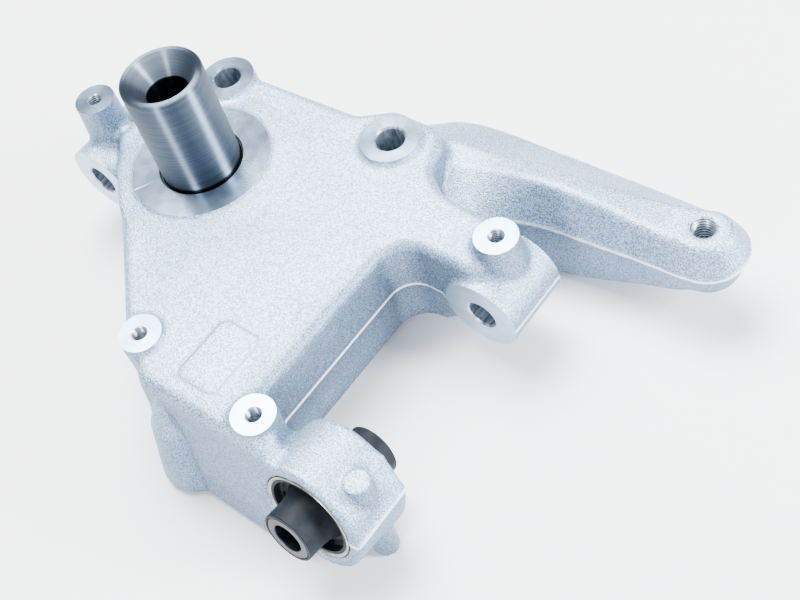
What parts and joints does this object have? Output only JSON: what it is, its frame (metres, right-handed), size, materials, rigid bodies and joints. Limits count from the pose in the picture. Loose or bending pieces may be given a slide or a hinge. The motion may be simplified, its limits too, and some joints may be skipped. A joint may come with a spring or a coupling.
{
  "type": "steering knuckle",
  "caption": "Cast aluminium steering knuckle with a hollow stub axle, a bushed eye, cross-bored lugs and a tapped steering arm.",
  "frame": {"origin": "on the stub axle's line at the machined hub face", "axes": "+Z outward along the stub axle, +Y along the two cross-bored lugs away from their faced ends, +X toward the steering arm"},
  "size_m": [0.3332, 0.2328, 0.127],
  "materials": {
    "casting": "shot-blasted casting with machined faces",
    "steel": "turned",
    "zinc": "zinc plated",
    "rubber": "moulded"
  },
  "bodies": {
    "root": {"knuckle_casting": "casting", "stub_axle": "steel", "bush_shell": "zinc", "bush_rubber": "rubber", "bush_core": "steel"}
  },
  "joints": []
}
